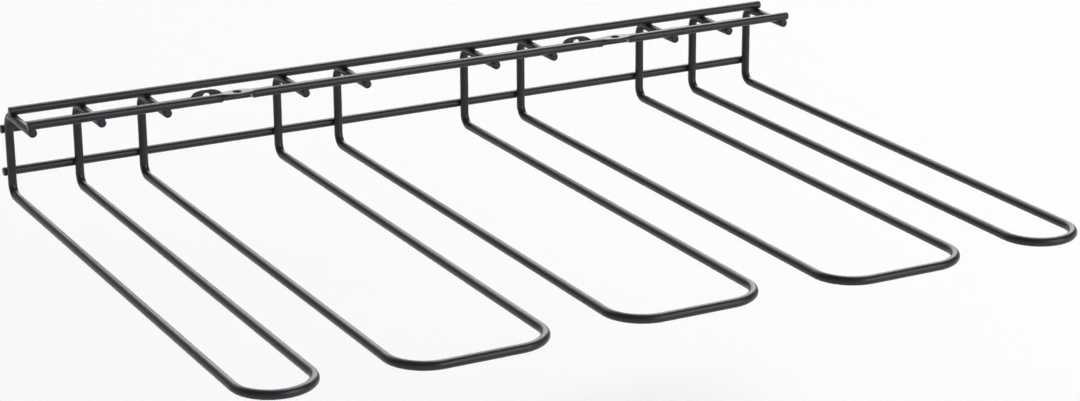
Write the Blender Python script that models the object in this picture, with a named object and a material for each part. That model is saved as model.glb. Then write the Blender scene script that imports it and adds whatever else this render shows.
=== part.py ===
"""Hanging wine glass rack: nine round steel wires, welded where they cross and coated black.

Five U-shaped loops carry the glasses by their feet, with the stems in the four slots between the
loops. Each loop is one wire: its two arms bend up behind the glasses and forward again under the
shelf. Two rails lie on those top runs, and two more lie behind the uprights. The front top rail has
two flat eyes for screws that go up into a shelf, and the middle rear rail has two for a wall.

Frame: metres, X along the rails, +Y towards the wall, +Z up. The origin is midway between the two
eyes of the front top rail, in the plane of the shelf's underside.
"""

import math
from collections import namedtuple

import bmesh
import bpy
from mathutils import Vector

# Wire and welds
wire_diameter = 0.0045
weld_sink = 0.0005
weld_clearance = 0.0003
end_chamfer = 0.0005

# Loops, from centre line to centre line
narrow_loop_width = 0.036
wide_loop_width = 0.076
stem_slot_width = 0.035
narrow_loop_reach = 0.3146
wide_loop_reach = 0.3165
middle_loop_reach = 0.3126
front_corner_radius = 0.0192
hook_height = 0.0429
hook_bend_radius = 0.006
stub_past_rail = 0.0011

# Rails
front_rail_before_uprights = 0.039
back_rail_before_bend = 0.0038
middle_rail_below_bend = 0.0029
lower_rail_above_bend = 0.0053
top_rail_overhang = 0.0003
rear_rail_overhang = 0.0012

# Screw eyes, pressed flat in a rail and punched. The powers shape an eye's outline: a higher first
# one makes it fuller, and a higher second one lets it run out more softly into the wire.
shelf_eye_width = 0.0088
shelf_eye_outline_length = 0.025
shelf_eye_rise = 0.0
shelf_eye_powers = (2.0, 2.4)
wall_eye_width = 0.0078
wall_eye_outline_length = 0.018
wall_eye_rise = 0.001
wall_eye_powers = (3.0, 1.0)
eye_thickness = 0.0017
eye_flat_length = 0.0132
eye_shoulder_length = 0.0024
screw_hole_diameter = 0.0045

# How far a cutter runs past what it cuts
cut_overrun = 0.001

# Fineness of the round shapes
wire_sides = 16
cutter_sides = 24
hook_bend_steps = 6
front_corner_steps = 7
eye_flat_steps = 4
eye_shoulder_steps = 3
curve_bevel_resolution = (wire_sides - 4) // 2
crease_angle = math.radians(40)

# Finish: satin black powder coat
coat_color = (0.012, 0.0125, 0.0135, 1.0)
coat_roughness = 0.33
coat_metallic = 0.0
coat_specular = 0.5

# Places worked out from the sizes above
wire_radius = wire_diameter / 2
crossing_distance = wire_diameter - weld_sink

top_rail_z = -wire_radius
top_run_z = top_rail_z - crossing_distance
arm_z = top_run_z - hook_height
upright_y = front_rail_before_uprights
stub_end_y = -stub_past_rail
back_rail_y = upright_y - hook_bend_radius - back_rail_before_bend
rear_rail_y = upright_y + crossing_distance
middle_rail_z = top_run_z - hook_bend_radius - middle_rail_below_bend
lower_rail_z = arm_z + hook_bend_radius + lower_rail_above_bend

# The loops from left to right: name, width and reach
loop_table = (
    ("narrow_loop_left", narrow_loop_width, narrow_loop_reach),
    ("wide_loop_left", wide_loop_width, wide_loop_reach),
    ("wide_loop_middle", wide_loop_width, middle_loop_reach),
    ("wide_loop_right", wide_loop_width, wide_loop_reach),
    ("narrow_loop_right", narrow_loop_width, narrow_loop_reach),
)
rack_width = sum(width for _, width, _ in loop_table) + stem_slot_width * (len(loop_table) - 1)


def place_loops():
    """Left and right wire of each loop, with the rack's middle at x = 0."""
    places = []
    left = -rack_width / 2
    for _, width, _ in loop_table:
        places.append((left, left + width))
        left += width + stem_slot_width
    return places


loop_places = place_loops()
wire_places = [x for pair in loop_places for x in pair]

# The eyes sit over the middle of the left and right wide loops. An eye's rise is how far its middle
# stands off the rail's centre line, which is upwards in a rear rail.
Eye = namedtuple("Eye", "width outline_length rise powers")
eye_places = [sum(loop_places[index]) / 2 for index in (1, 3)]
shelf_eye = Eye(shelf_eye_width, shelf_eye_outline_length, shelf_eye_rise, shelf_eye_powers)
wall_eye = Eye(wall_eye_width, wall_eye_outline_length, wall_eye_rise, wall_eye_powers)


def clear_scene():
    for old in list(bpy.data.objects):
        bpy.data.objects.remove(old, do_unlink=True)


def coat_material(name):
    """Satin black powder coat for one wire."""
    material = bpy.data.materials.new(name + "_coat")
    material.use_nodes = True
    shader = material.node_tree.nodes["Principled BSDF"]
    shader.inputs["Base Color"].default_value = coat_color
    shader.inputs["Roughness"].default_value = coat_roughness
    shader.inputs["Metallic"].default_value = coat_metallic
    shader.inputs["Specular IOR Level"].default_value = coat_specular
    material.diffuse_color = coat_color
    return material


def arc(centre, radius, start, end, steps):
    """Points on an arc in a plane, as (across, up) pairs, without its first point."""
    points = []
    for step in range(1, steps + 1):
        angle = start + (end - start) * step / steps
        points.append((centre[0] + radius * math.cos(angle), centre[1] + radius * math.sin(angle)))
    return points


def hook_path(x):
    """One wire's end: the stub at the front, the top run, the upright and the start of the arm."""
    quarter = math.pi / 2
    bend_y = upright_y - hook_bend_radius
    path = [(stub_end_y, top_run_z), (bend_y, top_run_z)]
    path += arc((bend_y, top_run_z - hook_bend_radius), hook_bend_radius, quarter, 0, hook_bend_steps)
    path.append((upright_y, arm_z + hook_bend_radius))
    path += arc((bend_y, arm_z + hook_bend_radius), hook_bend_radius, 0, -quarter, hook_bend_steps)
    return [Vector((x, y, z)) for y, z in path]


def front_path(left, right, reach):
    """The loop's front: a quarter round, the bar between, and the other quarter round."""
    radius = min(front_corner_radius, (right - left) / 2)
    front_y = upright_y - reach
    corner_y = front_y + radius
    first = [(left, corner_y)]
    first += arc((left + radius, corner_y), radius, math.pi, 1.5 * math.pi, front_corner_steps)
    second = [(left + right - x, y) for x, y in reversed(first)]
    if right - left <= 2 * radius:
        second = second[1:]
    return [Vector((x, y, arm_z)) for x, y in first + second]


def loop_path(left, right, reach):
    return hook_path(left) + front_path(left, right, reach) + hook_path(right)[::-1]


def with_chamfers(path):
    """Adds a point near each end, and gives every point its share of the wire's radius."""
    start = path[0] + (path[1] - path[0]).normalized() * end_chamfer
    end = path[-1] + (path[-2] - path[-1]).normalized() * end_chamfer
    points = [path[0], start] + path[1:-1] + [end, path[-1]]
    tip_share = (wire_radius - end_chamfer) / wire_radius
    shares = [tip_share] + [1.0] * (len(points) - 2) + [tip_share]
    return list(zip(points, shares))


def build_loop(name, places, reach):
    """A loop is a curve with a round bevel and filled ends."""
    points = with_chamfers(loop_path(places[0], places[1], reach))
    curve = bpy.data.curves.new(name, "CURVE")
    curve.dimensions = "3D"
    curve.bevel_depth = wire_radius
    curve.bevel_resolution = curve_bevel_resolution
    curve.use_fill_caps = True
    spline = curve.splines.new("POLY")
    spline.points.add(len(points) - 1)
    for knot, (place, share) in zip(spline.points, points):
        knot.co = (*place, 1.0)
        knot.radius = share
    spline.use_smooth = True
    curve.materials.append(coat_material(name))
    loop = bpy.data.objects.new(name, curve)
    bpy.context.collection.objects.link(loop)
    return loop


def eye_stations(eye):
    """Distances from an eye's middle at which the rail's section is drawn, from left to right."""
    flat_half = eye_flat_length / 2
    half = [flat_half * step / eye_flat_steps for step in range(1, eye_flat_steps + 1)]
    for step in range(1, eye_shoulder_steps + 1):
        half.append(flat_half + eye_shoulder_length * step / eye_shoulder_steps)
    half.append(max(eye.outline_length / 2, half[-1] + eye_shoulder_length / eye_shoulder_steps))
    return [-x for x in reversed(half)] + [0.0] + half


def flatness(distance):
    """1 where the press has flattened the wire, 0 where it is still round, and smooth between."""
    past = (abs(distance) - eye_flat_length / 2) / eye_shoulder_length
    past = min(max(past, 0.0), 1.0)
    return 1.0 - past * past * (3.0 - 2.0 * past)


def spread(distance, eye):
    """How far the pressed metal has spread sideways: 1 at the eye's middle, 0 where it ends."""
    along, out = eye.powers
    share = min(abs(distance) / (eye.outline_length / 2), 1.0)
    return (1.0 - share ** along) ** out


def rail_section(distance, eye):
    """The rail's section, flush on its top side, at a distance from an eye's middle."""
    flat = flatness(distance)
    bulge = spread(distance, eye)
    half_width = wire_radius + (eye.width / 2 - wire_radius) * bulge
    half_height = wire_radius + (eye_thickness / 2 - wire_radius) * flat
    middle = wire_radius - half_height
    squareness = 1.0 + (math.sqrt(2.0) - 1.0) * flat
    points = []
    for side in range(wire_sides):
        angle = 2 * math.pi * side / wire_sides
        height = min(max(squareness * math.sin(angle), -1.0), 1.0)
        across = half_width * math.cos(angle) - eye.rise * bulge
        points.append((across, middle + half_height * height))
    return points


def rail_sections(half_length, eye, places):
    """Every section along a rail, as pairs of x and the points of the section."""
    tip_share = (wire_radius - end_chamfer) / wire_radius
    plain = rail_section(half_length, eye)
    tip = [(y * tip_share, z * tip_share) for y, z in plain]
    sections = [(-half_length, tip), (-half_length + end_chamfer, plain)]
    for x in places:
        sections += [(x + distance, rail_section(distance, eye)) for distance in eye_stations(eye)]
    sections += [(half_length - end_chamfer, plain), (half_length, tip)]
    return sections


def rail_mesh(name, half_length, eye, places):
    """A rail along X, lofted through its sections and closed at both ends."""
    shape = bmesh.new()
    rings = []
    for x, points in rail_sections(half_length, eye, places):
        rings.append([shape.verts.new((x, y, z)) for y, z in points])
    for ring, following in zip(rings, rings[1:]):
        for side in range(wire_sides):
            after = (side + 1) % wire_sides
            shape.faces.new((ring[side], following[side], following[after], ring[after]))
    shape.faces.new(rings[0])
    shape.faces.new(rings[-1][::-1])
    bmesh.ops.recalc_face_normals(shape, faces=shape.faces)
    mesh = bpy.data.meshes.new(name)
    shape.to_mesh(mesh)
    shape.free()
    mesh.shade_smooth()
    mesh.set_sharp_from_angle(angle=crease_angle)
    return mesh


def add_cutter_cylinder(shape, start, end, radius):
    """A closed cylinder from start to end, added to a cutter's shape."""
    axis = end - start
    turn = Vector((0, 0, 1)).rotation_difference(axis).to_matrix().to_4x4()
    turn.translation = (start + end) / 2
    bmesh.ops.create_cone(
        shape,
        cap_ends=True,
        segments=cutter_sides,
        radius1=radius,
        radius2=radius,
        depth=axis.length,
        matrix=turn,
    )


def cutter_mesh(name, eye, places):
    """Saddles for the ten wires that a rail crosses, and a hole through each eye."""
    shape = bmesh.new()
    reach = wire_radius + cut_overrun
    for x in wire_places:
        start = Vector((x, -reach, -crossing_distance))
        end = Vector((x, reach, -crossing_distance))
        add_cutter_cylinder(shape, start, end, wire_radius + weld_clearance)
    for x in places:
        start = Vector((x, -eye.rise, -reach))
        end = Vector((x, -eye.rise, reach))
        add_cutter_cylinder(shape, start, end, screw_hole_diameter / 2)
    mesh = bpy.data.meshes.new(name)
    shape.to_mesh(mesh)
    shape.free()
    return mesh


def build_rail(name, y, z, turn, overhang, eye, places):
    """A rail, its saddles and its holes. Turn swings its flush side from up to the wall."""
    half_length = rack_width / 2 + wire_radius + overhang
    rail = bpy.data.objects.new(name, rail_mesh(name, half_length, eye, places))
    rail.data.materials.append(coat_material(name))
    cutter = bpy.data.objects.new(name + "_cutter", cutter_mesh(name + "_cutter", eye, places))
    cutter.hide_render = True
    cutter.display_type = "WIRE"
    for piece in (rail, cutter):
        piece.location = (0, y, z)
        piece.rotation_euler = (turn, 0, 0)
        bpy.context.collection.objects.link(piece)
    cut = rail.modifiers.new("saddles_and_holes", "BOOLEAN")
    cut.operation = "DIFFERENCE"
    cut.solver = "EXACT"
    cut.object = cutter
    return rail


def build_rack():
    clear_scene()
    for (name, _, reach), places in zip(loop_table, loop_places):
        build_loop(name, places, reach)
    to_wall = -math.pi / 2
    overhang = top_rail_overhang
    build_rail("back_top_rail", back_rail_y, top_rail_z, 0, overhang, shelf_eye, [])
    build_rail("front_top_rail", 0, top_rail_z, 0, overhang, shelf_eye, eye_places)
    overhang = rear_rail_overhang
    build_rail("middle_rear_rail", rear_rail_y, middle_rail_z, to_wall, overhang, wall_eye, eye_places)
    build_rail("lower_rear_rail", rear_rail_y, lower_rail_z, to_wall, overhang, wall_eye, [])


build_rack()
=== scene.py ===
import math
from collections import namedtuple

import bmesh
import bpy
import numpy as np
from mathutils import Matrix, Quaternion, Vector


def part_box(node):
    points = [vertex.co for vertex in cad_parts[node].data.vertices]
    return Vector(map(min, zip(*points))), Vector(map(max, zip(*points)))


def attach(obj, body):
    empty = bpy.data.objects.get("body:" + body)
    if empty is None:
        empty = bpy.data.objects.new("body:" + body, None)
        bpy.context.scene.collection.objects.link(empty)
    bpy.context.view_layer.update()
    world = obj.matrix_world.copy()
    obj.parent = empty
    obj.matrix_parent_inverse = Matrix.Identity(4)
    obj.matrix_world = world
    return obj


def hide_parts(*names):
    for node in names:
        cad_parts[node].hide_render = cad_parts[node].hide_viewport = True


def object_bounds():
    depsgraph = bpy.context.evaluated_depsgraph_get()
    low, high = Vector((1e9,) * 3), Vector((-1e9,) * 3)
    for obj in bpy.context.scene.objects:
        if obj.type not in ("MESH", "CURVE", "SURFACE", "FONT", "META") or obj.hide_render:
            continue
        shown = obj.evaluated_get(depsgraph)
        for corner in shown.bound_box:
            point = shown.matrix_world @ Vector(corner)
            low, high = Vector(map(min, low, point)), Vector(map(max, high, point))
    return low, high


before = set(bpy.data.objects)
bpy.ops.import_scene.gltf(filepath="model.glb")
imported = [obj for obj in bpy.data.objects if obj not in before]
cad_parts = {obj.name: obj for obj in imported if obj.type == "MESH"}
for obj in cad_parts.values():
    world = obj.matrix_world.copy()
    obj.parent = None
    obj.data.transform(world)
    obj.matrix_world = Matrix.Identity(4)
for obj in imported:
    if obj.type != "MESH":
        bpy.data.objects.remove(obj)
cad_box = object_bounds()

MM = 0.001

# The solids and their finish. The screw eyes sit over the middle of the two eyed loops.
LOOPS = (
    "narrow_loop_left",
    "wide_loop_left",
    "wide_loop_middle",
    "wide_loop_right",
    "narrow_loop_right",
)
TOP_RAILS = ("back_top_rail", "front_top_rail")
REAR_RAILS = ("middle_rear_rail", "lower_rear_rail")
EYED_LOOPS = ("wide_loop_left", "wide_loop_right")

# Fineness of the wires: sides round a wire, and steps along a bend, a corner and a rounded end
WIRE_SIDES = 40
HOOK_STEPS = 16
CORNER_STEPS = 26
END_STEPS = 6
DOME_RING_SHARES = (0.3, 0.6, 0.85)

# Bends, at the wire's centre line
HOOK_BEND_RADIUS = 6.0 * MM
FRONT_CORNER_RADIUS = 19.2 * MM
SHORTEST_FRONT_BAR = 0.01 * MM

# Cut ends: a slightly domed face with a rounded edge
END_ROUNDING = 0.55 * MM
END_DOME = 0.12 * MM

# How much of a rail's left tip is read for its centre line, as a share of the wire's radius
TIP_SHARE = 1 / 3

# Pressed eyes: a flat, a shoulder at each end of it, and an outline that bulges to both sides. The
# powers shape the outline: a higher first one makes it fuller, and a higher second one lets it run
# out more softly into the wire. A higher slope leaves fewer of a section's points on its flat sides.
EYE_THICKNESS = 1.7 * MM
EYE_FLAT_LENGTH = 13.2 * MM
EYE_SHOULDER = 2.4 * MM
EYE_OUTLINES = {"front_top_rail": 25.0 * MM, "middle_rear_rail": 18.0 * MM}
EYE_POWERS = {"front_top_rail": (2.0, 2.4), "middle_rear_rail": (3.0, 1.0)}
EYE_SECTION_SLOPE = 3.0
EYE_STATION = 0.25 * MM

# Punched holes, and the tool that cuts them
HOLE_RADIUS = 2.25 * MM
HOLE_RIM = 0.3 * MM
HOLE_SIDES = 64
HOLE_RIM_STEPS = 8
PUNCH_LIP = 0.02 * MM
PUNCH_OVERRUN = 1.0 * MM

# Weld fillets, meshed on a grid and sunk just below the wires where they end
FILLET = 0.55 * MM
FILLET_REACH = 2.9 * MM
FILLET_SQUASH = 1.15
FILLET_SINK = 0.015 * MM
FILLET_STEP = 0.17 * MM
FILLET_MARGIN_STEPS = 2

# The reach given to a wire that goes on well past a weld
FAR = 1.0

# Powder coat: noise scales per metre, tones, gloss and the height of its bumps
CLOUD_SCALE, CLOUD_DETAIL, CLOUD_ROUGHNESS = 55.0, 4.0, 0.55
GRAIN_SCALE, GRAIN_DETAIL, GRAIN_ROUGHNESS = 2600.0, 2.0, 0.6
PEEL_SCALE, PEEL_DETAIL, PEEL_ROUGHNESS = 620.0, 3.0, 0.5
WAVE_SCALE, WAVE_DETAIL, WAVE_ROUGHNESS = 160.0, 2.0, 0.5
COAT_DARK = (0.0080, 0.0080, 0.0125, 1)
COAT_LIGHT = (0.0130, 0.0130, 0.0180, 1)
COAT_FLECK = (0.024, 0.024, 0.029, 1)
TONE_RANGE = (0.3, 0.72)
FLECK_RANGE = (0.55, 0.80)
GLOSS_RANGE = (0.25, 0.75)
COAT_ROUGHNESS = (0.30, 0.40)
COAT_SPECULAR = 0.35
COAT_IOR = 1.5
BUMP_STRENGTH = 0.5
WAVE_HEIGHT = 0.06 * MM
PEEL_HEIGHT = 0.03 * MM
BLACK, WHITE = (0, 0, 0, 1), (1, 1, 1, 1)

# Stage
FLOOR_DROP = 150.0 * MM
FLOOR_Z = cad_box[0].z - FLOOR_DROP
FLOOR_REACH = 30.0
FLOOR_TONE = 0.88
FLOOR_ROUGHNESS = 0.9
FLOOR_LIFT = 0.06
HORIZON_TONE, HORIZON_HEIGHT = (0.95, 0.95, 0.95, 1), 0.02
ZENITH_TONE, ZENITH_HEIGHT = (0.27, 0.27, 0.28, 1), 0.22

# Lamps: the way to each from the point that it looks at, in metres and watts
Lamp = namedtuple("Lamp", "name way distance size power")
LAMP_AIM = Vector((0, -0.12, -0.03))
LAMPS = (
    Lamp("rim", (0.441, 0.796, 0.415), 30.0, (24.0, 16.6), 4850.0),
    Lamp("crown", (0.445, 0.448, 0.775), 32.0, (9.6, 18.8), 4320.0),
    Lamp("fill", (0.446, -0.838, 0.36), 6.0, (4.5, 4.5), 200.0),
    Lamp("veil", (-0.211, 0.736, 0.643), 30.0, (21.8, 7.9), 1190.0),
)

# Camera, with its angles in degrees
CAMERA_PLACE = (-0.6222, -1.2936, 0.3998)
CAMERA_HEADING = -27.949
CAMERA_TILT = 90 - 18.382
CAMERA_ROLL = -0.278
CAMERA_LENS = 93.705
CAMERA_SENSOR = 36.0
CAMERA_NEAR, CAMERA_FAR = 0.01, 100.0


# What the solids say about the wires

LoopSize = namedtuple("LoopSize", "left right front arm run stub")


def wire_radius():
    lo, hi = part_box("back_top_rail")
    return (hi.z - lo.z) / 2


def loop_size(name):
    """A loop's left, right and front centre lines, the heights of its arms and top runs, and its ends."""
    lo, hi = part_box(name)
    run = hi.z - RADIUS
    stub = min(v.co.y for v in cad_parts[name].data.vertices if v.co.z > run - RADIUS)
    return LoopSize(lo.x + RADIUS, hi.x - RADIUS, lo.y + RADIUS, lo.z + RADIUS, run, stub)


def rail_line(name):
    """The middle of a rail's centre line and half its length, from its left tip, which has no eye."""
    lo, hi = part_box(name)
    tip = [v.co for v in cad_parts[name].data.vertices if v.co.x < lo.x + RADIUS * TIP_SHARE]
    y = (min(p.y for p in tip) + max(p.y for p in tip)) / 2
    z = (min(p.z for p in tip) + max(p.z for p in tip)) / 2
    return Vector(((lo.x + hi.x) / 2, y, z)), (hi.x - lo.x) / 2


def upright_place():
    """The uprights' place along Y, one crossing in front of the lower rear rail."""
    lo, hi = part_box("lower_rear_rail")
    return (lo.y + hi.y) / 2 - CROSSING


RADIUS = wire_radius()
LOOP_SIZES = {name: loop_size(name) for name in LOOPS}
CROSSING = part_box("back_top_rail")[1].z - RADIUS - LOOP_SIZES["wide_loop_left"].run
UPRIGHT_Y = upright_place()
WIRES_X = [x for size in LOOP_SIZES.values() for x in (size.left, size.right)]
EYES_X = [(LOOP_SIZES[name].left + LOOP_SIZES[name].right) / 2 for name in EYED_LOOPS]


# Powder coat

def node(tree, kind, place, **settings):
    made = tree.nodes.new(kind)
    made.location = place
    for name, value in settings.items():
        setattr(made, name, value)
    return made


def noise(tree, vector, row, scale, detail, roughness):
    made = node(tree, "ShaderNodeTexNoise", (-900, row))
    made.inputs["Scale"].default_value = scale
    made.inputs["Detail"].default_value = detail
    made.inputs["Roughness"].default_value = roughness
    tree.links.new(vector, made.inputs["Vector"])
    return made.outputs["Fac"]


def colour_ramp(tree, factor, place, positions, colours):
    made = node(tree, "ShaderNodeValToRGB", place)
    for element, position, colour in zip(made.color_ramp.elements, positions, colours):
        element.position = position
        element.color = colour
    tree.links.new(factor, made.inputs["Fac"])
    return made.outputs["Color"]


def bump(tree, height, place, distance):
    made = node(tree, "ShaderNodeBump", place)
    made.inputs["Strength"].default_value = BUMP_STRENGTH
    made.inputs["Distance"].default_value = distance
    tree.links.new(height, made.inputs["Height"])
    return made


def powder_coat():
    """Satin black powder coat with orange peel, slow waves, fine flecks and an uneven tone and gloss."""
    material = bpy.data.materials.new("satin_black_powder_coat")
    material.use_nodes = True
    tree = material.node_tree
    tree.nodes.clear()
    link = tree.links.new
    out = node(tree, "ShaderNodeOutputMaterial", (900, 0))
    shader = node(tree, "ShaderNodeBsdfPrincipled", (600, 0))
    shader.inputs["Metallic"].default_value = 0.0
    shader.inputs["IOR"].default_value = COAT_IOR
    shader.inputs["Specular IOR Level"].default_value = COAT_SPECULAR
    link(shader.outputs["BSDF"], out.inputs["Surface"])

    place = node(tree, "ShaderNodeTexCoord", (-1200, 0)).outputs["Object"]
    clouds = noise(tree, place, 400, CLOUD_SCALE, CLOUD_DETAIL, CLOUD_ROUGHNESS)
    grain = noise(tree, place, 150, GRAIN_SCALE, GRAIN_DETAIL, GRAIN_ROUGHNESS)
    peel = noise(tree, place, -150, PEEL_SCALE, PEEL_DETAIL, PEEL_ROUGHNESS)
    waves = noise(tree, place, -400, WAVE_SCALE, WAVE_DETAIL, WAVE_ROUGHNESS)

    tone = colour_ramp(tree, clouds, (-600, 400), TONE_RANGE, (COAT_DARK, COAT_LIGHT))
    flecks = colour_ramp(tree, grain, (-600, 150), FLECK_RANGE, (BLACK, WHITE))
    mix = node(tree, "ShaderNodeMix", (-250, 300), data_type="RGBA", blend_type="MIX")
    mix.inputs["B"].default_value = COAT_FLECK
    link(flecks, mix.inputs["Factor"])
    link(tone, mix.inputs["A"])
    link(mix.outputs["Result"], shader.inputs["Base Color"])

    gloss = node(tree, "ShaderNodeMapRange", (-250, 0))
    gloss.inputs["From Min"].default_value, gloss.inputs["From Max"].default_value = GLOSS_RANGE
    gloss.inputs["To Min"].default_value, gloss.inputs["To Max"].default_value = COAT_ROUGHNESS
    link(clouds, gloss.inputs["Value"])
    link(gloss.outputs["Result"], shader.inputs["Roughness"])

    coarse = bump(tree, waves, (0, -400), WAVE_HEIGHT)
    fine = bump(tree, peel, (250, -250), PEEL_HEIGHT)
    link(coarse.outputs["Normal"], fine.inputs["Normal"])
    link(fine.outputs["Normal"], shader.inputs["Normal"])
    return material


COAT = powder_coat()


# Meshes of round wire

def link_object(name, data):
    made = bpy.data.objects.new(name, data)
    bpy.context.collection.objects.link(made)
    return made


def make_piece(name, vertices, faces, *replaced):
    """A smooth mesh piece in the coat, riding on the rack."""
    mesh = bpy.data.meshes.new(name)
    mesh.from_pydata([tuple(v) for v in vertices], [], [tuple(f) for f in faces])
    mesh.validate()
    shape = bmesh.new()
    shape.from_mesh(mesh)
    bmesh.ops.recalc_face_normals(shape, faces=shape.faces)
    shape.to_mesh(mesh)
    shape.free()
    mesh.shade_smooth()
    mesh.materials.append(COAT)
    piece = link_object(name, mesh)
    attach(piece, "root")
    if replaced:
        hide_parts(*replaced)
    return piece


def end_profile():
    """Inset and radius of the rings of a cut end, from its domed face to the wire's side."""
    face = RADIUS - END_ROUNDING
    rings = [(END_DOME * share ** 2, face * share) for share in DOME_RING_SHARES]
    for step in range(END_STEPS + 1):
        angle = math.pi / 2 * step / END_STEPS
        inset = END_DOME + END_ROUNDING * (1 - math.cos(angle))
        rings.append((inset, face + END_ROUNDING * math.sin(angle)))
    return rings


def ring_faces(count):
    """Quads between each ring of a wire and the next."""
    faces = []
    for ring in range(count - 1):
        for side in range(WIRE_SIDES):
            after = (side + 1) % WIRE_SIDES
            a, b = ring * WIRE_SIDES, (ring + 1) * WIRE_SIDES
            faces.append((a + side, a + after, b + after, b + side))
    return faces


def close_ends(vertices, faces, count, first, last):
    """Fans that close the first and the last ring at a pole."""
    for pole, ring in ((first, 0), (last, (count - 1) * WIRE_SIDES)):
        vertices.append(Vector(pole))
        for side in range(WIRE_SIDES):
            faces.append((ring + side, ring + (side + 1) % WIRE_SIDES, len(vertices) - 1))


def sweep(path):
    """A round wire along a path, with rounded ends. The path's second points lie past the rounding."""
    start = (path[1] - path[0]).normalized()
    end = (path[-2] - path[-1]).normalized()
    rings = [(path[0] + start * inset, radius) for inset, radius in end_profile()]
    rings += [(place, RADIUS) for place in path[1:-1]]
    rings += [(path[-1] + end * inset, radius) for inset, radius in reversed(end_profile())]
    places = [place for place, _ in rings]
    vertices = []
    tangent = start
    across = start.orthogonal().normalized()
    for index, (place, radius) in enumerate(rings):
        before = places[max(index - 1, 0)]
        after = places[min(index + 1, len(places) - 1)]
        turned = (after - before).normalized()
        across = tangent.rotation_difference(turned) @ across
        across = (across - turned * across.dot(turned)).normalized()
        tangent = turned
        up = tangent.cross(across)
        for side in range(WIRE_SIDES):
            angle = 2 * math.pi * side / WIRE_SIDES
            vertices.append(place + (across * math.cos(angle) + up * math.sin(angle)) * radius)
    faces = ring_faces(len(rings))
    close_ends(vertices, faces, len(rings), path[0], path[-1])
    return vertices, faces


# Loops

def arc(centre, radius, start, end, steps):
    """Points along an arc, without its first one."""
    points = []
    for step in range(1, steps + 1):
        angle = start + (end - start) * step / steps
        points.append((centre[0] + radius * math.cos(angle), centre[1] + radius * math.sin(angle)))
    return points


def loop_path(size):
    """A loop's centre line: a hook down from the top run, an arm, the front, and the same way back."""
    bend = HOOK_BEND_RADIUS
    back = UPRIGHT_Y - bend
    quarter = math.pi / 2
    hook = [(size.stub, size.run), (back, size.run)]
    hook += arc((back, size.run - bend), bend, quarter, 0, HOOK_STEPS)
    hook.append((UPRIGHT_Y, size.arm + bend))
    hook += arc((back, size.arm + bend), bend, 0, -quarter, HOOK_STEPS)
    radius = min(FRONT_CORNER_RADIUS, (size.right - size.left) / 2)
    corner = size.front + radius
    turn = [(size.left, corner)]
    turn += arc((size.left + radius, corner), radius, math.pi, 1.5 * math.pi, CORNER_STEPS)
    other = [(size.left + size.right - x, y) for x, y in reversed(turn)]
    if size.right - size.left <= 2 * radius + SHORTEST_FRONT_BAR:
        other = other[1:]
    path = [Vector((size.left, y, z)) for y, z in hook]
    path += [Vector((x, y, size.arm)) for x, y in turn + other]
    path += [Vector((size.right, y, z)) for y, z in reversed(hook)]
    return path


# Rails with pressed eyes

class Eye:
    """The pressed eye of one rail, in the rail's own frame, where its flush side is up."""

    def __init__(self, rail_name, middle):
        lo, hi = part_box(rail_name)
        self.outline = EYE_OUTLINES[rail_name]
        self.powers = EYE_POWERS[rail_name]
        self.half_width = max(hi.y - lo.y, hi.z - lo.z) / 2
        self.rise = (lo.z + hi.z) / 2 - middle.z if rail_name in REAR_RAILS else 0.0

    def bulge(self, distance):
        """How far the outline has spread at a distance from the eye's middle, from 0 to 1."""
        along, out = self.powers
        return (1.0 - min(abs(distance) / (self.outline / 2), 1.0) ** along) ** out

    def flatness(self, distance):
        """How flat the wire is pressed there, from 0, still round, to 1."""
        past = min(max((abs(distance) - EYE_FLAT_LENGTH / 2) / EYE_SHOULDER, 0.0), 1.0)
        return 1.0 - past * past * (3.0 - 2.0 * past)

    def section(self, distance):
        """The pressed wire's section there: flat on two sides and round at its edges."""
        bulge = self.bulge(distance)
        wide = RADIUS + (self.half_width - RADIUS) * bulge
        high = RADIUS + (EYE_THICKNESS / 2 - RADIUS) * self.flatness(distance)
        points = []
        for side in range(WIRE_SIDES):
            angle = 2 * math.pi * (side + 0.5) / WIRE_SIDES
            spread = max(-1.0, min(1.0, EYE_SECTION_SLOPE * math.cos(angle)))
            across = max(wide - high, 0.0) * spread + high * math.cos(angle) - self.rise * bulge
            points.append((across, RADIUS - high + high * math.sin(angle)))
        return points


def plain_rail(half_length):
    """A straight rail along X, without eyes."""
    straight = half_length - 2 * END_ROUNDING - END_DOME
    return sweep([Vector((x, 0, 0)) for x in (-half_length, -straight, straight, half_length)])


def eyed_rail(half_length, eye):
    """A rail along X with pressed eyes, before its holes are punched."""
    round_section = [(y / RADIUS, z / RADIUS) for y, z in eye.section(half_length)]

    def scaled(radius):
        return [(y * radius, z * radius) for y, z in round_section]

    rings = [(-half_length + inset, scaled(radius)) for inset, radius in end_profile()]
    length = max(eye.outline, EYE_FLAT_LENGTH + 2 * EYE_SHOULDER)
    steps = round(length / EYE_STATION)
    for place in EYES_X:
        for step in range(steps + 1):
            distance = length * (step / steps - 0.5)
            rings.append((place + distance, eye.section(distance)))
    rings += [(half_length - inset, scaled(radius)) for inset, radius in reversed(end_profile())]
    vertices = [Vector((x, y, z)) for x, points in rings for y, z in points]
    faces = ring_faces(len(rings))
    close_ends(vertices, faces, len(rings), (-half_length, 0, 0), (half_length, 0, 0))
    return vertices, faces


def punch_profile():
    """Radius and height of the punch, turned about the hole's axis. Its flare rounds the hole's rims."""
    top, bottom = RADIUS, RADIUS - EYE_THICKNESS
    widest = HOLE_RADIUS + HOLE_RIM
    turned = [(widest + PUNCH_OVERRUN, top + PUNCH_OVERRUN), (widest, top + PUNCH_LIP)]
    for step in range(HOLE_RIM_STEPS + 1):
        angle = math.pi / 2 * step / HOLE_RIM_STEPS
        radius = HOLE_RADIUS + HOLE_RIM * (1 - math.sin(angle))
        turned.append((radius, top - HOLE_RIM * (1 - math.cos(angle))))
    return turned + [(radius, bottom + top - z) for radius, z in reversed(turned)]


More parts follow.
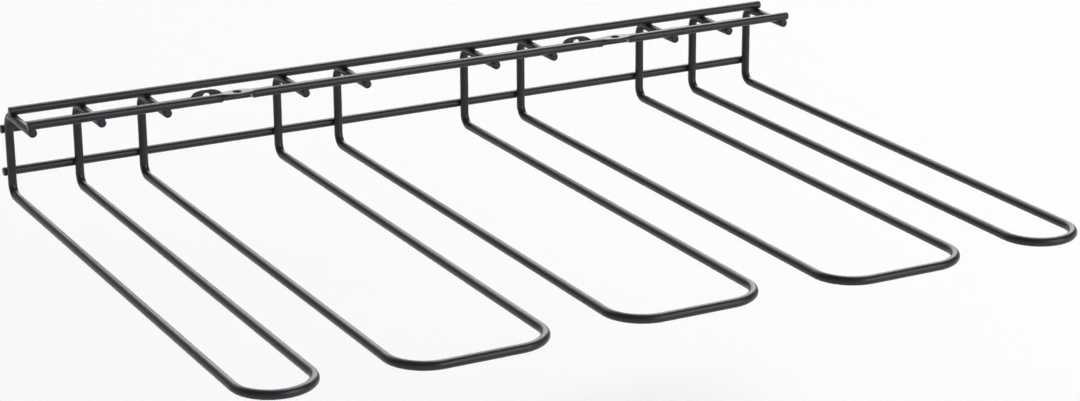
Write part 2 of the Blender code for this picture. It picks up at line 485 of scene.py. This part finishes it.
def punch(place, rise):
    """The cutter of the hole at a place along the rail."""
    shape = bmesh.new()
    rings = []
    for radius, height in punch_profile():
        ring = []
        for side in range(HOLE_SIDES):
            angle = 2 * math.pi * side / HOLE_SIDES
            x, y = place + radius * math.cos(angle), radius * math.sin(angle) - rise
            ring.append(shape.verts.new((x, y, height)))
        rings.append(ring)
    for ring, following in zip(rings, rings[1:]):
        for side in range(HOLE_SIDES):
            after = (side + 1) % HOLE_SIDES
            shape.faces.new((ring[side], ring[after], following[after], following[side]))
    shape.faces.new(rings[0])
    shape.faces.new(rings[-1][::-1])
    bmesh.ops.recalc_face_normals(shape, faces=shape.faces)
    mesh = bpy.data.meshes.new("punch")
    shape.to_mesh(mesh)
    shape.free()
    return link_object("punch", mesh)


def punch_holes(rail, rise):
    for place in EYES_X:
        cutter = punch(place, rise)
        cut = rail.modifiers.new("hole", "BOOLEAN")
        cut.operation = "DIFFERENCE"
        cut.solver = "EXACT"
        cut.object = cutter
        graph = bpy.context.evaluated_depsgraph_get()
        mesh = bpy.data.meshes.new_from_object(rail.evaluated_get(graph))
        rail.modifiers.clear()
        rail.data = mesh
        bpy.data.objects.remove(cutter)
    rail.data.shade_smooth()


def flush_side_turn(rail_name):
    """Turns the side that is up in a rail's own frame to the wall, on the rear rails."""
    return Matrix.Rotation(-math.pi / 2 if rail_name in REAR_RAILS else 0.0, 4, "X")


def make_rail(rail_name):
    middle, half_length = rail_line(rail_name)
    if rail_name in EYE_OUTLINES:
        eye = Eye(rail_name, middle)
        rail = make_piece(rail_name + "_wire", *eyed_rail(half_length, eye), rail_name)
        punch_holes(rail, eye.rise)
    else:
        rail = make_piece(rail_name + "_wire", *plain_rail(half_length), rail_name)
    rail.data.transform(Matrix.Translation(middle) @ flush_side_turn(rail_name))


# Welds

def crossing_points(field, inside):
    """For each grid cell that the field's zero level passes, the mean point of its crossed edges."""
    size = np.array(field.shape) - 1
    total = np.zeros((*size, 3))
    count = np.zeros(size)
    corners = [(i, j, k) for i in (0, 1) for j in (0, 1) for k in (0, 1)]

    def at_corner(array, corner):
        return array[tuple(slice(c, c + n) for c, n in zip(corner, size))]

    for a in corners:
        for axis in range(3):
            if a[axis]:
                continue
            b = tuple(1 if i == axis else v for i, v in enumerate(a))
            value_a, value_b = at_corner(field, a), at_corner(field, b)
            crossed = at_corner(inside, a) != at_corner(inside, b)
            share = np.where(crossed, value_a / np.where(crossed, value_a - value_b, 1.0), 0.0)
            for i in range(3):
                total[..., i] += np.where(crossed, a[i] + (share if i == axis else 0.0), 0.0)
            count += crossed
    used = count > 0
    grid = np.stack(np.meshgrid(*[np.arange(n) for n in size], indexing="ij"), -1)
    return used, (grid + total / np.maximum(count, 1)[..., None])[used]


def surface_net(field, origin, step):
    """Meshes the zero level of a field sampled on a cubic grid, with one quad for each crossed edge."""
    inside = field < 0
    used, points = crossing_points(field, inside)
    number = np.full(used.shape, -1)
    number[used] = np.arange(used.sum())
    faces = []
    for axis in range(3):
        u, v = (axis + 1) % 3, (axis + 2) % 3
        low = [slice(1, -1)] * 3
        low[axis] = slice(0, -1)
        high = list(low)
        high[axis] = slice(1, None)
        change = inside[tuple(low)].astype(int) - inside[tuple(high)].astype(int)
        for spot in np.argwhere(change != 0):
            base = spot + 1
            base[axis] -= 1
            ring = []
            for du, dv in ((-1, -1), (0, -1), (0, 0), (-1, 0)):
                cell = base.copy()
                cell[u] += du
                cell[v] += dv
                ring.append(int(number[tuple(cell)]))
            faces.append(ring if change[tuple(spot)] > 0 else ring[::-1])
    return points * step + origin, faces


def wire_field(off_axis, along, reach):
    """Distance to a round wire whose end, with its rounded edge, is at reach along its axis."""
    side = off_axis - (RADIUS - END_ROUNDING)
    end = along - (reach - END_DOME - END_ROUNDING)
    outside = np.hypot(np.maximum(side, 0.0), np.maximum(end, 0.0))
    return np.minimum(np.maximum(side, end), 0.0) + outside - END_ROUNDING


def weld_shape(rail_reach, wire_reach):
    """The fillet where a rail along X lies on a wire along Y, with the contact at the origin.

    The rail ends at rail_reach along X, and the wire at wire_reach along -Y.
    """
    half = FILLET_REACH + FILLET_MARGIN_STEPS * FILLET_STEP
    axis = np.arange(-half, half + FILLET_STEP, FILLET_STEP)
    x, y, z = np.meshgrid(axis, axis, axis, indexing="ij")
    rail = wire_field(np.hypot(y, z - CROSSING / 2), x, rail_reach)
    wire = wire_field(np.hypot(x, z + CROSSING / 2), -y, wire_reach)
    blend = np.maximum(FILLET - np.abs(rail - wire), 0.0) / FILLET
    joined = np.minimum(rail, wire) - blend ** 2 * FILLET / 4
    ball = np.sqrt(x ** 2 + y ** 2 + (FILLET_SQUASH * z) ** 2) - FILLET_REACH
    return surface_net(np.maximum(joined + FILLET_SINK, ball), axis[0], FILLET_STEP)


def weld_row(rail_name):
    """The fillets along one rail, as one piece. Only the front top rail lies near the wires' own ends."""
    middle, half_length = rail_line(rail_name)
    half = CROSSING / 2
    if rail_name in TOP_RAILS:
        wire_reach = middle.y - LOOP_SIZES["wide_loop_left"].stub
        contact = middle - Vector((0, 0, half))
    else:
        wire_reach = FAR
        contact = middle - Vector((0, half, 0))
    turn = flush_side_turn(rail_name)
    vertices, faces = [], []
    for x in WIRES_X:
        mirror = Matrix.Scale(math.copysign(1.0, x), 4, Vector((1, 0, 0)))
        place = Matrix.Translation((x, contact.y, contact.z)) @ turn @ mirror
        points, quads = weld_shape(half_length - abs(x), wire_reach)
        start = len(vertices)
        vertices += [place @ Vector(p) for p in points]
        faces += [[start + i for i in quad] for quad in quads]
    make_piece(rail_name + "_welds", vertices, faces)


# Stage, light and camera

def floor_material():
    """Matt white, lifted a little for the camera and for reflections, so that it keeps the rack's shadow."""
    material = bpy.data.materials.new("floor")
    material.use_nodes = True
    tree = material.node_tree
    link = tree.links.new
    shader = tree.nodes["Principled BSDF"]
    out = tree.nodes["Material Output"]
    shader.inputs["Base Color"].default_value = (FLOOR_TONE, FLOOR_TONE, FLOOR_TONE, 1)
    shader.inputs["Roughness"].default_value = FLOOR_ROUGHNESS
    shader.inputs["Specular IOR Level"].default_value = 0.0
    rays = node(tree, "ShaderNodeLightPath", (-600, -300))
    seen = node(tree, "ShaderNodeMath", (-350, -300), operation="MAXIMUM")
    link(rays.outputs["Is Camera Ray"], seen.inputs[0])
    link(rays.outputs["Is Glossy Ray"], seen.inputs[1])
    also = node(tree, "ShaderNodeMath", (-150, -300), operation="MAXIMUM")
    link(seen.outputs["Value"], also.inputs[0])
    link(rays.outputs["Is Transmission Ray"], also.inputs[1])
    strength = node(tree, "ShaderNodeMath", (50, -300), operation="MULTIPLY")
    link(also.outputs["Value"], strength.inputs[0])
    strength.inputs[1].default_value = FLOOR_LIFT
    glow = node(tree, "ShaderNodeEmission", (250, -300))
    link(strength.outputs["Value"], glow.inputs["Strength"])
    both = node(tree, "ShaderNodeAddShader", (450, 0))
    link(shader.outputs["BSDF"], both.inputs[0])
    link(glow.outputs["Emission"], both.inputs[1])
    link(both.outputs["Shader"], out.inputs["Surface"])
    return material


def make_floor():
    mesh = bpy.data.meshes.new("floor")
    reach = FLOOR_REACH
    corners = [(-reach, -reach), (reach, -reach), (reach, reach), (-reach, reach)]
    mesh.from_pydata([(x, y, FLOOR_Z) for x, y in corners], [], [(0, 1, 2, 3)])
    mesh.materials.append(floor_material())
    piece = link_object("floor", mesh)


def make_world():
    """A dim studio, pale only at the horizon."""
    world = bpy.data.worlds.new("studio")
    bpy.context.scene.world = world
    world.use_nodes = True
    tree = world.node_tree
    tree.nodes.clear()
    link = tree.links.new
    out = node(tree, "ShaderNodeOutputWorld", (600, 0))
    background = node(tree, "ShaderNodeBackground", (400, 0))
    split = node(tree, "ShaderNodeSeparateXYZ", (-100, 0))
    place = node(tree, "ShaderNodeTexCoord", (-300, 0))
    link(place.outputs["Generated"], split.inputs["Vector"])
    heights, tones = (HORIZON_HEIGHT, ZENITH_HEIGHT), (HORIZON_TONE, ZENITH_TONE)
    sky = colour_ramp(tree, split.outputs["Z"], (100, 0), heights, tones)
    link(sky, background.inputs["Color"])
    link(background.outputs["Background"], out.inputs["Surface"])


def make_lamp(lamp):
    """A soft rectangular lamp that the camera doesn't see."""
    light = bpy.data.lights.new(lamp.name, "AREA")
    light.shape = "RECTANGLE"
    light.size, light.size_y = lamp.size
    light.energy = lamp.power
    made = link_object(lamp.name, light)
    way = Vector(lamp.way).normalized()
    made.location = LAMP_AIM + way * lamp.distance
    made.rotation_mode = "QUATERNION"
    made.rotation_quaternion = way.to_track_quat("Z", "Y")
    made.visible_camera = False


def make_camera():
    lens = bpy.data.cameras.new("camera")
    lens.sensor_width = CAMERA_SENSOR
    lens.lens = CAMERA_LENS
    lens.clip_start, lens.clip_end = CAMERA_NEAR, CAMERA_FAR
    made = link_object("camera", lens)
    made.location = CAMERA_PLACE
    heading = Quaternion((0, 0, 1), math.radians(CAMERA_HEADING))
    tilt = Quaternion((1, 0, 0), math.radians(CAMERA_TILT))
    roll = Quaternion((0, 0, 1), math.radians(CAMERA_ROLL))
    made.rotation_mode = "QUATERNION"
    made.rotation_quaternion = heading @ tilt @ roll
    bpy.context.scene.camera = made


for loop_name, size in LOOP_SIZES.items():
    make_piece(loop_name + "_wire", *sweep(loop_path(size)), loop_name)
for rail_name in TOP_RAILS + REAR_RAILS:
    make_rail(rail_name)
for rail_name in TOP_RAILS + REAR_RAILS:
    weld_row(rail_name)
make_floor()
make_world()
for lamp in LAMPS:
    make_lamp(lamp)
make_camera()
bpy.context.scene.view_settings.view_transform = "Standard"
